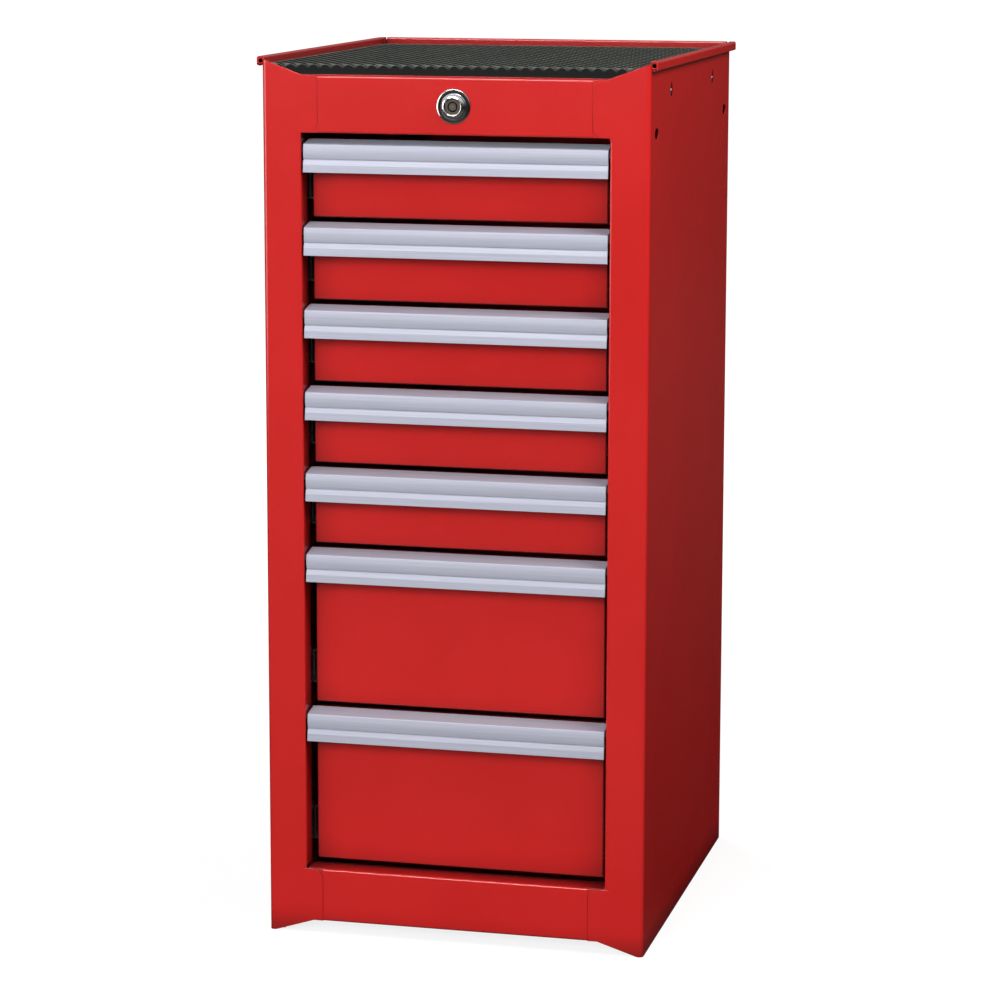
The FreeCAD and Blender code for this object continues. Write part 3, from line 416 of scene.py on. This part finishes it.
def knobbed_mat_mesh(mat):
    """The mat as one closed skin: a knobbed top cut straight at its edges, four sides and a flat underside."""
    width, depth = MAT_HIGH.x - MAT_LOW.x, MAT_HIGH.y - MAT_LOW.y
    columns = round(width / mat.knob_pitch * mat.fineness)
    rows = round(depth / mat.knob_pitch * mat.fineness * 2 / math.sqrt(3))
    flat = MAT_TOP - mat.knob_height
    points = []
    for row in range(rows + 1):
        for column in range(columns + 1):
            x = MAT_LOW.x + width * column / columns
            y = MAT_LOW.y + depth * row / rows
            rise = knob_rise(x, y - MAT_LOW.y - mat.first_row, mat)
            in_border = min(x - MAT_LOW.x, MAT_HIGH.x - x, MAT_HIGH.y - y) < mat.border
            if in_border:
                rise = mat.knob_height
            points.append((x, y, flat + rise))
    wide = columns + 1
    faces = [(r * wide + c, r * wide + c + 1, (r + 1) * wide + c + 1, (r + 1) * wide + c)
             for r in range(rows) for c in range(columns)]
    rim = list(range(wide))
    rim += [r * wide + columns for r in range(1, rows + 1)]
    rim += [rows * wide + c for c in range(columns - 1, -1, -1)]
    rim += [r * wide for r in range(rows - 1, 0, -1)]
    foot = len(points)
    points += [(points[n][0], points[n][1], MAT_LOW.z) for n in rim]
    count = len(rim)
    faces += [(rim[n], foot + n, foot + (n + 1) % count, rim[(n + 1) % count]) for n in range(count)]
    faces.append([foot + n for n in range(count - 1, -1, -1)])
    mesh = bpy.data.meshes.new("knobbed_mat")
    mesh.from_pydata(points, [], faces)
    return smooth(mesh, crease=1.0)


# ---- settings ----

def colour_setting(name, description, code):
    """A colour that a user can change."""
    return bpy.props.FloatVectorProperty(
        name=name, description=description, subtype="COLOR", size=3, min=0, max=1, default=linear(code))


def length_setting(name, description, size):
    """A length that a user can change, given in millimetres."""
    return bpy.props.FloatProperty(
        name=name, description=description, subtype="DISTANCE", unit="LENGTH", min=0, default=size * MM)


def share_setting(name, description, share):
    """A share from 0 to 1 that a user can change."""
    return bpy.props.FloatProperty(
        name=name, description=description, subtype="FACTOR", min=0, max=1, default=share)


def power_setting(name, description, watts):
    """The power of a lamp that a user can change."""
    return bpy.props.FloatProperty(
        name=name, description=description, subtype="POWER", unit="POWER", min=0, default=watts)


class PaintSettings(bpy.types.PropertyGroup):
    """The powder coat on the sheet steel."""
    colour: colour_setting("Colour", "Colour of the paint", "#CA2524")
    deep_colour: colour_setting("Deep colour", "Colour where the coat is thicker", "#C32220")
    roughness: share_setting("Roughness", "How far the coat spreads a highlight", 0.17)
    gloss: share_setting("Gloss", "Strength of the coat's reflections", 0.45)
    edge_radius: length_setting("Edge radius", "How round the coat makes an edge", 0.9)


class PullSettings(bpy.types.PropertyGroup):
    """The anodised pulls."""
    colour: colour_setting("Colour", "Colour of the anodised face", "#AFB1BF")
    deep_colour: colour_setting("Deep colour", "Colour in the die lines", "#A3A5B4")
    roughness: share_setting("Roughness", "How far the etch spreads a highlight", 0.5)


class MatSettings(bpy.types.PropertyGroup):
    """The knobbed rubber mat."""
    knob_pitch: length_setting("Knob pitch", "From one knob to the next in a row", 12.2)
    knob_width: length_setting("Knob width", "Width of a knob at its foot", 10.8)
    knob_height: length_setting("Knob height", "Height of a knob over the flat", 4.2)
    first_row: length_setting("First row", "Front edge to the middle of the first row", 1.6)
    border: length_setting("Border", "Plain raised edge at the back and the sides", 2.5)
    fineness: bpy.props.IntProperty(
        name="Fineness", description="Faces across one pitch of the knobs", min=3, max=12, default=7)
    # The knob colour is painted light on the tops and upward slopes; the hollow colour is painted shade between the
    # knobs and on their steep sides.
    lit_knob_colour: colour_setting("Knob colour", "Colour of the rubbed knobs", "#868B7E")
    shaded_hollow_colour: colour_setting("Hollow colour", "Colour between the knobs", "#090B0A")


class BallSettings(bpy.types.PropertyGroup):
    """The balls of the slides."""
    width: length_setting("Width", "Width of a ball", 4.7)
    pitch: length_setting("Pitch", "From one ball to the next", 12)


class StudioSettings(bpy.types.PropertyGroup):
    """Lamps, sky and floor."""
    key: power_setting("Key", "Power of the key lamp", 132)
    fill: power_setting("Fill", "Power of the fill lamp", 22)
    back: power_setting("Back", "Power of the lamp behind", 80)
    cards: power_setting("Cards", "Power of a reflected card of middling strength", 85)
    sky: bpy.props.FloatProperty(
        name="Sky", description="Strength of the sky as a light", min=0, default=0.18)
    floor_colour: colour_setting("Floor colour", "Colour of the floor", "#8C8C8C")
    floor_size: bpy.props.FloatProperty(
        name="Floor size", description="Width of the floor", subtype="DISTANCE", unit="LENGTH", default=90)


# ---- operators ----

def dress(slot, material, word=""):
    """Give the nodes of a material slot, or those with this word in their name, this material."""
    for part in frame["record"]["subparts"]:
        name = part["node"]
        if part["material_slot"] == slot and word in name:
            for place in frame["nodes"][name].material_slots:
                place.material = material


class CoatSheetSteel(bpy.types.Operator):
    """Coat the case, the trays and the drawer fronts red"""
    bl_idname = "side_cabinet.coat_sheet_steel"
    bl_label = "Coat the sheet steel"

    def execute(self, context):
        dress("red_paint", red_powder_coat(context.scene.side_cabinet_paint))
        return {"FINISHED"}


class AnodisePulls(bpy.types.Operator):
    """Anodise the seven full width pulls"""
    bl_idname = "side_cabinet.anodise_pulls"
    bl_label = "Anodise the pulls"

    def execute(self, context):
        dress("pull_aluminium", satin_anodised_aluminium(context.scene.side_cabinet_pull))
        return {"FINISHED"}


class PlateSlides(bpy.types.Operator):
    """Plate the slides and the lock bar's parts, and fill the cages with balls"""
    bl_idname = "side_cabinet.plate_slides"
    bl_label = "Plate the slides and add their balls"

    def execute(self, context):
        ball = context.scene.side_cabinet_ball
        dress("zinc_plate", bright_zinc_plate())
        steel = polished_chrome()
        # The balls' middles lie this far inside the drawer members' outer faces and the cages' edges.
        in_track, in_cage = 2.1 * MM, 0.4 * MM
        for number in DRAWERS:
            low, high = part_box("drawer_%d_ball_cages" % number)
            row_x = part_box("drawer_%d_inner_slides" % number)[1].x - in_track
            count = int((high.y - low.y) / ball.pitch)
            start = (high.y + low.y - (count - 1) * ball.pitch) / 2
            form = bmesh.new()
            for side in SIDES:
                for level in (high.z - in_cage, low.z + in_cage):
                    for n in range(count):
                        place = (side * row_x, start + n * ball.pitch, level)
                        bmesh.ops.create_icosphere(form, subdivisions=2, radius=ball.width / 2,
                                                   matrix=Matrix.Translation(place))
            mesh = mesh_of(form, "drawer_%d_balls" % number)
            mesh.shade_smooth()
            show_piece("drawer_%d_balls" % number, mesh, "ball_cages_%d" % number, steel)
        return {"FINISHED"}


class MouldMat(bpy.types.Operator):
    """Lay the knobbed rubber mat in the top tray"""
    bl_idname = "side_cabinet.mould_mat"
    bl_label = "Mould the mat"

    def execute(self, context):
        mat = context.scene.side_cabinet_mat
        piece = show_piece("knobbed_mat", knobbed_mat_mesh(mat), "cabinet", moulded_rubber(mat))
        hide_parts("top_mat")
        return {"FINISHED"}


class TurnLock(bpy.types.Operator):
    """Turn the lock's polished ring and finish the plug and the nut"""
    bl_idname = "side_cabinet.turn_lock"
    bl_label = "Turn the lock"

    def execute(self, context):
        chrome = polished_chrome()
        dress("chrome_plate", chrome, "lock_nut")
        dress("chrome_plate", turned_nickel_silver(), "lock_plug")
        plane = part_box("header_rail")[0].y
        back = (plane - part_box("lock_housing")[1].y) / MM
        running_gap, barrel, foot = 0.08, 12.4, 17.5
        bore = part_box("lock_plug")[1].x / MM + running_gap
        profile = [(back, bore), (back, barrel), (0, barrel), (0, foot)]
        foot_edge = arc((0.5, foot - 0.7), 0.7, 90, 0, 7)
        wide_step = [(1.3, 16.2), (1.45, 13.6), (1.3, 13.1), (1.7, 12.7), (4.4, 12.5)]
        crown = arc((-2.95, 5.9), 9.9, 40, 20.5, 9)
        inner_lip = arc((5.53, 9.1), 0.85, 18, -90, 8)
        profile += foot_edge + wide_step + crown + inner_lip + [(3.8, 8.25), (3.5, bore)]
        mesh = turned_mesh("lock_ring", profile, 96, facing((0, plane, LOCK_LEVEL), (0, -1, 0)))
        piece = show_piece("lock_ring", mesh, "cabinet", chrome)
        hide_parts("lock_housing")
        return {"FINISHED"}


class DriveScrews(bpy.types.Operator):
    """Drive the four cross recessed pan head screws into the keyholes"""
    bl_idname = "side_cabinet.drive_screws"
    bl_label = "Drive the hanging screws"

    def execute(self, context):
        low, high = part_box("hanging_screws")
        head_height, head_radius = 2.2 * MM, 3.5 * MM
        seat, reach, level = high.x - head_height, high.y - head_radius, (low.z + high.z) / 2
        shank = [(-9, 0), (-9, 1.6), (-8.6, 2.0), (0, 2.0)]
        head_edge = [(0, 3.0), (0.2, 3.2), (0.5, 3.2)]
        crown = arc((0.5, 1.7), 1.5, 75, 0, 7) + [(2.0, 0)]
        # Half the length and width of a bar of the cross, its floor, and a level clear of the head.
        long, wide, floor, clear = 1.9 * MM, 0.45 * MM, 0.9 * MM, 4 * MM
        heads = []
        for side in SIDES:
            for along in SIDES:
                head = turned_mesh("head", shank + head_edge + crown, 32, Matrix.Identity(4))
                for x, y in ((long, wide), (wide, long)):
                    head = cut_mesh("head", head, box_mesh("bar", (-x, -y, floor), (x, y, clear)))
                # Each cross stands as the driver left it.
                turn = Matrix.Rotation(0.5 + 0.7 * along, 4, "Z")
                head.transform(facing((side * seat, along * reach, level), (side, 0, 0)) @ turn)
                heads.append(head)
        mesh = joined_mesh("pan_head_screws", heads)
        piece = show_piece("pan_head_screws", mesh, "cabinet", polished_chrome())
        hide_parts("hanging_screws")
        return {"FINISHED"}


class WeldSpots(bpy.types.Operator):
    """Raise the painted marks of the spot welds that hold the uprights"""
    bl_idname = "side_cabinet.weld_spots"
    bl_label = "Mark the spot welds"

    def execute(self, context):
        # The electrode leaves a low ring round a dimple.
        profile = [(0, 3.0), (0.16, 2.6), (0.22, 2.1), (0.1, 1.4), (0.05, 0)]
        reach, levels = 195.5, (824, 793)
        marks = []
        for side in SIDES:
            for along in SIDES:
                for level in levels:
                    place = Vector((side * SIDE_PLANE, along * reach, level)) * MM
                    marks.append(turned_mesh("mark", profile, 20, facing(place, (side, 0, 0))))
        show_coated("spot_weld_marks", marks)
        return {"FINISHED"}


class FillSeams(bpy.types.Operator):
    """Let the paint bridge the seams and the corner notches of the face"""
    bl_idname = "side_cabinet.fill_seams"
    bl_label = "Fill the seams"

    def execute(self, context):
        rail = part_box("header_rail")
        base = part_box("base_rail")
        # The paint stands in a seam a little behind the face.
        face = rail[0].y / MM
        skin, floor = face + 0.25, face + 0.6
        # A side's tab ends here over the rails, with an inner corner of this radius. The paint laps on by a little.
        tab_edge, tab_curve, lap = 142, 11, 0.2
        seam_edge = tab_edge - 0.7
        notch_inner, notch_outer, notch_past, notch_over = 159.3, 163, 3.4, 0.6
        fills = []
        for side in SIDES:
            for level, turn, end in ((rail[0].z / MM, 1, rail[1].z / MM), (base[1].z / MM, -1, base[0].z / MM)):
                bend = arc((tab_edge + tab_curve, -tab_curve), tab_curve + lap, 180, 92, 9)
                outline = [(seam_edge, end - turn * lap), (tab_edge + lap, end - turn * lap)]
                outline += [(x, level - turn * z) for x, z in bend]
                outline += [(tab_edge + tab_curve, level + turn * 0.1), (seam_edge, level + turn * 0.1)]
                low, high = level - turn * notch_past, level + turn * notch_over
                notch = [(notch_inner, low), (notch_outer, low), (notch_outer, high), (notch_inner, high)]
                for shape in (outline, notch):
                    fills.append(plate_mesh("fill", [(side * x, z) for x, z in shape], skin, floor))
        show_coated("seam_fills", fills)
        return {"FINISHED"}


class CurlHems(bpy.types.Operator):
    """Curl in the free edges of the rolled top, pinch its front ends and close its rear corners"""
    bl_idname = "side_cabinet.curl_hems"
    bl_label = "Curl the hems"

    def execute(self, context):
        low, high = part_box("left_side_panel")
        hem_width, hem_drop, wall = 6.5, 8.0, 1.2
        top = high.z / MM
        foot = top - hem_drop
        # The hems start behind the bend of the front, and what closes them stands a little inside their faces.
        front, back = low.y / MM + 4.0, high.y / MM - 0.2
        self.curl_edges(front, back, foot, hem_width / 2, wall)
        self.close_corners(foot + 0.3, top - 0.15)
        self.pinch_ends(front + 0.4, foot)
        return {"FINISHED"}

    def curl_edges(self, front, back, foot, radius, wall):
        """Half round lips, squashed to half their height, along the sides and the back."""
        section = arc((0, 0), radius, 0, -165, 13) + arc((0, 0), radius - wall, -165, 0, 13)
        section = [(x, 0.5 * z) for x, z in section]
        curls = []
        for side in SIDES:
            shape = [(side * (SIDE_PLANE + radius + x), foot + z) for x, z in section]
            curls.append(plate_mesh("curl", shape, front, back))
        back_low, back_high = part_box("back_panel")
        shape = [(back_high.y / MM - radius + x, foot + z) for x, z in section]
        curl = plate_mesh("curl", shape, -back_high.x / MM, -back_low.x / MM)
        curl.transform(Matrix.Rotation(math.pi / 2, 4, "Z"))
        curls.append(curl)
        show_coated("hem_curls", curls)

    def close_corners(self, low, high):
        """The welds of the rear corners, ground round."""
        # The plan is drawn with -Y as its second axis, round the corner of the case.
        case_x, case_y, radius = 199.6, -228.7, 6.2
        plan = [(case_x - 0.2, case_y + 0.5)] + arc((case_x, case_y), radius, 0, -90, 9)
        plan.append((case_x - 0.8, case_y - radius))
        corners = []
        for side in SIDES:
            corner = plate_mesh("corner", [(side * x, z) for x, z in plan], low, high)
            corner.transform(Matrix.Rotation(math.pi / 2, 4, "X"))
            corners.append(corner)
        show_coated("hem_corners", corners)

    def pinch_ends(self, start, foot):
        """The front ends of the side hems, each folded in round a small hole."""
        inner, outer, hole, hole_radius, thickness = 199.9, 205.4, (202.6, foot + 3.6), 2.2, 0.8
        ends = []
        for side in SIDES:
            # One outline runs round the hem's inside and back round the hole.
            outline = [(inner, foot + 1.2), (inner, foot + 6.9), (outer, foot + 6.9), (outer, foot + 1.2),
                       (outer - 1.2, foot + 0.2), (hole[0], foot + 0.2)]
            outline += arc(hole, hole_radius, -90, 270, 13)
            outline += [(hole[0], foot + 0.2), (inner + 1.1, foot + 0.2)]
            shape = [(side * x, z) for x, z in outline]
            ends.append(plate_mesh("end", shape, start, start + thickness))
        show_coated("hem_ends", ends)


class SetStudio(bpy.types.Operator):
    """Set the camera, the lamps, the sky and the floor"""
    bl_idname = "side_cabinet.set_studio"
    bl_label = "Set the studio"

    def execute(self, context):
        scene = context.scene
        studio = scene.side_cabinet_studio
        self.set_camera(scene)
        self.set_sky(scene, studio)
        self.set_lamps(scene, studio)
        self.set_floor(scene, studio)
        scene.view_settings.view_transform = "Standard"
        return {"FINISHED"}

    def set_camera(self, scene):
        """Stand in front, to the right and a little above, as the photograph was taken."""
        flat = math.cos(CAMERA_PITCH)
        ahead = Vector((-math.sin(CAMERA_YAW) * flat, math.cos(CAMERA_YAW) * flat, -math.sin(CAMERA_PITCH)))
        level = Vector((math.cos(CAMERA_YAW), math.sin(CAMERA_YAW), 0))
        down = ahead.cross(level)
        right = math.cos(CAMERA_ROLL) * level + math.sin(CAMERA_ROLL) * down
        up = math.sin(CAMERA_ROLL) * level - math.cos(CAMERA_ROLL) * down
        turn = Matrix((right, up, -ahead)).transposed()
        data = bpy.data.cameras.new("camera")
        data.sensor_width = CAMERA_SENSOR
        data.lens = CAMERA_LENS
        data.shift_y = CAMERA_SHIFT
        data.clip_end = 200
        camera = bpy.data.objects.new("camera", data)
        camera.matrix_world = Matrix.Translation(CAMERA_PLACE) @ turn.to_4x4()
        scene.collection.objects.link(camera)
        scene.camera = camera

    def seen(self, tree):
        """1 where a ray comes from the camera, or from it by way of a mirror or a glass."""
        path = add_node(tree, "ShaderNodeLightPath")
        first = computed(tree, "MAXIMUM", path.outputs["Is Camera Ray"], path.outputs["Is Glossy Ray"])
        return computed(tree, "MAXIMUM", first, path.outputs["Is Transmission Ray"])

    def set_sky(self, scene, studio):
        """White to look at, a room bright overhead and dimmer below for the gloss, and a weak light."""
        world = bpy.data.worlds.new("sky")
        world.use_nodes = True
        tree = world.node_tree
        tree.nodes.clear()
        direction = add_node(tree, "ShaderNodeTexCoord").outputs["Generated"]
        height = add_node(tree, "ShaderNodeSeparateXYZ", {"Vector": direction}).outputs["Z"]
        glow = mapped(tree, height, 0.12, 0.6, 0.09, 0.9, interpolation_type="SMOOTHSTEP")
        light, white, room = (
            add_node(tree, "ShaderNodeBackground", {"Color": WHITE, "Strength": strength}).outputs["Background"]
            for strength in (studio.sky, 1.0, glow))
        path = add_node(tree, "ShaderNodeLightPath")
        glossy = add_node(tree, "ShaderNodeMixShader", {
            "Fac": path.outputs["Is Glossy Ray"], 1: white, 2: room})
        mixed = add_node(tree, "ShaderNodeMixShader", {
            "Fac": self.seen(tree), 1: light, 2: glossy.outputs["Shader"]})
        add_node(tree, "ShaderNodeOutputWorld", {"Surface": mixed.outputs["Shader"]})
        scene.world = world

    def set_lamps(self, scene, studio):
        """A soft key from the front and above, a fill high on the right, one behind, and two cards for the gloss."""
        # Each has its name, power, width and height, place and aim, in watts and metres.
        lamps = (
            ("key", studio.key, (1.8, 1.8), (-0.6, -3.9, 1.75), (0, -0.2, 0.55)),
            ("fill", studio.fill, (0.8, 0.8), (1.25, -0.5, 1.75), (0.2, 0, 0.7)),
            ("back", studio.back, (1.6, 1.6), (-2.4, 2.8, 2.6), (0, 0.2, 0.6)),
            ("left_card", 0.7 * studio.cards, (2.2, 1.8), (-2.2, -2.2, 1.05), (0, -0.2, 0.6)),
            ("top_card", 1.8 * studio.cards, (2.4, 0.9), (-0.6, -2.6, 2.8), (0, -0.2, 0.6)),
        )
        for name, power, size, place, aim in lamps:
            lamp = bpy.data.lights.new(name, "AREA")
            lamp.energy = power
            lamp.shape = "RECTANGLE"
            lamp.size, lamp.size_y = size
            item = bpy.data.objects.new(name, lamp)
            item.location = place
            item.rotation_euler = (Vector(aim) - Vector(place)).to_track_quat("-Z", "Y").to_euler()
            item.visible_camera = False
            item.visible_diffuse = not name.endswith("card")
            item.visible_glossy = not item.visible_diffuse
            scene.collection.objects.link(item)

    def set_floor(self, scene, studio):
        """A pale floor out to the horizon that keeps the object's shadow, and is dim to the gloss."""
        form = bmesh.new()
        bmesh.ops.create_grid(form, x_segments=8, y_segments=8, size=studio.floor_size / 2)
        mesh = mesh_of(form, "floor")
        material, tree, place = new_material("pale_floor")
        path = add_node(tree, "ShaderNodeLightPath")
        # What the gloss sees of the floor, from the front of the room to the back.
        front_to_back = ((0.28, "#4A4641"), (0.38, "#655F58"), (0.44, "#655F58"), (0.5, "#1A1A1A"),
                         (0.55, "#1A1A1A"), (0.95, "#655F58"))
        depth = add_node(tree, "ShaderNodeSeparateXYZ", {"Vector": place}).outputs["Y"]
        dim = add_node(tree, "ShaderNodeValToRGB", {"Fac": mapped(tree, depth, -6.0, 6.0)})
        stops = dim.color_ramp.elements
        stops[0].position, stops[1].position = front_to_back[0][0], front_to_back[-1][0]
        for position, _ in front_to_back[1:-1]:
            stops.new(position)
        for stop, (_, code) in zip(stops, front_to_back):
            stop.color = opaque(linear(code))
        colour = blended(tree, path.outputs["Is Glossy Ray"], opaque(studio.floor_colour), dim.outputs["Color"])
        matt = add_node(tree, "ShaderNodeBsdfDiffuse", {"Color": colour})
        # A glow for the camera alone lifts the pale floor to white, a little less so in the shadow's place.
        distance = add_node(tree, "ShaderNodeVectorMath", {0: place}, operation="LENGTH").outputs["Value"]
        light = mapped(tree, distance, 0.4, 3.0, 0.82, 1.0, interpolation_type="SMOOTHSTEP")
        strength = computed(tree, "MULTIPLY", light, path.outputs["Is Camera Ray"])
        glow = add_node(tree, "ShaderNodeEmission", {"Color": WHITE, "Strength": strength})
        both = add_node(tree, "ShaderNodeAddShader", {0: matt.outputs["BSDF"], 1: glow.outputs["Emission"]})
        add_node(tree, "ShaderNodeOutputMaterial", {"Surface": both.outputs["Shader"]})
        mesh.materials.append(material)
        floor = bpy.data.objects.new("floor", mesh)
        scene.collection.objects.link(floor)


STEPS = (CoatSheetSteel, AnodisePulls, PlateSlides, MouldMat, TurnLock, DriveScrews, WeldSpots, FillSeams,
         CurlHems, SetStudio)
SETTINGS = (
    ("side_cabinet_paint", PaintSettings), ("side_cabinet_pull", PullSettings),
    ("side_cabinet_mat", MatSettings), ("side_cabinet_ball", BallSettings),
    ("side_cabinet_studio", StudioSettings),
)


class SideCabinetPanel(bpy.types.Panel):
    """The cabinet's pieces and settings in the 3D view's sidebar"""
    bl_idname = "VIEW3D_PT_side_cabinet"
    bl_label = "Side cabinet"
    bl_space_type = "VIEW_3D"
    bl_region_type = "UI"
    bl_category = "Side cabinet"

    def draw(self, context):
        for name, group in SETTINGS:
            settings = getattr(context.scene, name)
            for field in group.__annotations__:
                self.layout.prop(settings, field)
        for step in STEPS:
            self.layout.operator(step.bl_idname)


def register():
    """Make the settings, the operators and the panel known."""
    for group in [group for _, group in SETTINGS] + list(STEPS) + [SideCabinetPanel]:
        bpy.utils.register_class(group)
    for name, group in SETTINGS:
        setattr(bpy.types.Scene, name, bpy.props.PointerProperty(type=group))


def unregister():
    """Forget them again."""
    for name, _ in SETTINGS:
        delattr(bpy.types.Scene, name)
    for group in [SideCabinetPanel] + list(STEPS) + [group for _, group in SETTINGS]:
        bpy.utils.unregister_class(group)


def main():
    """Build every piece and the stage in order."""
    register()
    for step in STEPS:
        package, name = step.bl_idname.split(".")
        getattr(getattr(bpy.ops, package), name)()


if __name__ == "__main__":
    main()
